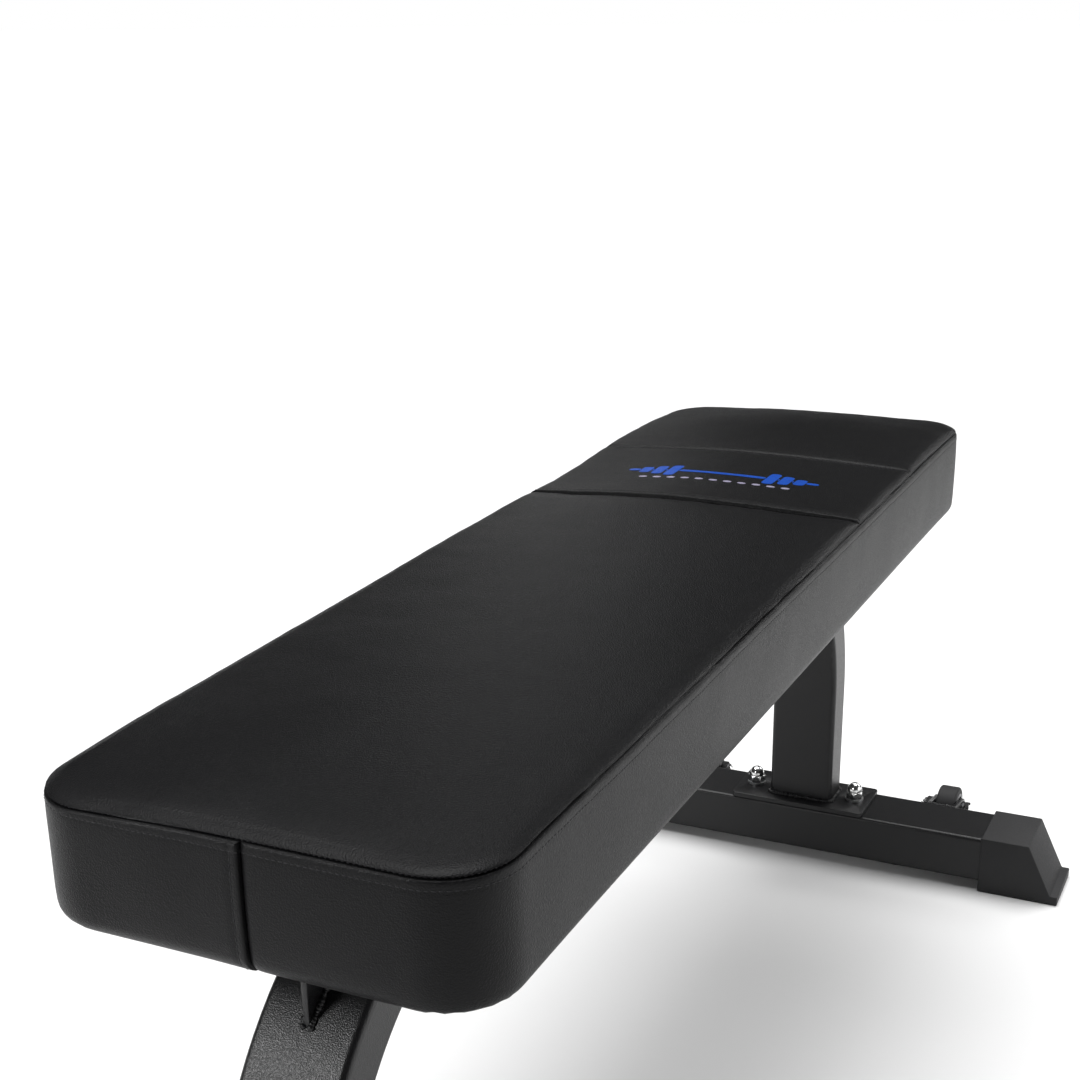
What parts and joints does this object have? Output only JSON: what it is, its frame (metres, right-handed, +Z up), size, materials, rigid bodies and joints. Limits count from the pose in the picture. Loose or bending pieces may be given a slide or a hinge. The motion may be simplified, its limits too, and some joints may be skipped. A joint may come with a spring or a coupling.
{
  "type": "flat weight bench",
  "caption": "Flat weight bench: padded vinyl top on a bent rectangular tube, two crossbars with rubber feet and transport wheels at the head end.",
  "frame": {"origin": "on the floor, at the middle of the footprint box", "axes": "+X along the bench towards the head end with the headrest strip and the wheels, +Y to the left of someone who stands at the foot end and looks towards the head end, +Z up"},
  "size_m": [1.1986, 0.58, 0.5084],
  "materials": {
    "vinyl": "grained vinyl, satin",
    "dust_sheet": "non-woven, matt",
    "thread": "polyester thread, satin",
    "badge_blue": "screen print, satin",
    "badge_pale": "screen print, satin",
    "board": "raw plywood",
    "foam": "open-cell foam",
    "frame_paint": "fine-textured black powder coat",
    "foot_rubber": "moulded rubber, matt",
    "zinc": "zinc plate",
    "bright_plate": "bright nickel plate",
    "staple_steel": "galvanised wire",
    "hub_plastic": "moulded nylon, satin",
    "tyre_rubber": "moulded rubber tread"
  },
  "bodies": {
    "bench": {"cover_main_panel": "vinyl", "cover_headrest_strip": "vinyl", "cover_end_panel": "vinyl", "cover_side_band": "vinyl", "cover_dust_sheet": "dust_sheet", "badge_barbell": "badge_blue", "badge_dashes": "badge_pale", "pad_board": "board", "pad_foam": "foam", "pad_t_nuts": "zinc", "pad_bolts": "zinc", "pad_washers": "zinc", "bent_frame_tube": "frame_paint", "gusset_foot_end": "frame_paint", "gusset_head_end": "frame_paint", "pad_plate_foot_end": "frame_paint", "pad_plate_head_end": "frame_paint", "base_plate_foot_end": "frame_paint", "base_plate_head_end": "frame_paint", "crossbar_foot_end": "frame_paint", "crossbar_head_end": "frame_paint", "foot_cap_foot_right": "foot_rubber", "foot_cap_foot_left": "foot_rubber", "foot_cap_head_right": "foot_rubber", "foot_cap_head_left": "foot_rubber", "crossbar_bolts": "zinc", "crossbar_washers": "zinc", "crossbar_dome_nuts": "bright_plate", "wheel_bracket_right": "frame_paint", "wheel_bracket_left": "frame_paint", "axle_sleeve_right": "zinc", "axle_sleeve_left": "zinc", "axle_bolts": "bright_plate", "axle_washers": "zinc", "axle_lock_nuts": "zinc"},
    "wheel_right": {"wheel_hub_right": "hub_plastic", "wheel_tyre_right": "tyre_rubber"},
    "wheel_left": {"wheel_hub_left": "hub_plastic", "wheel_tyre_left": "tyre_rubber"}
  },
  "joints": [
    {"name": "wheel_right_spin", "type": "hinge", "parent": "bench", "child": "wheel_right", "pos_m": [0.57425, -0.145, 0.0355], "axis": [0, 1, 0], "continuous": true},
    {"name": "wheel_left_spin", "type": "hinge", "parent": "bench", "child": "wheel_left", "pos_m": [0.57425, 0.145, 0.0355], "axis": [0, 1, 0], "continuous": true}
  ]
}
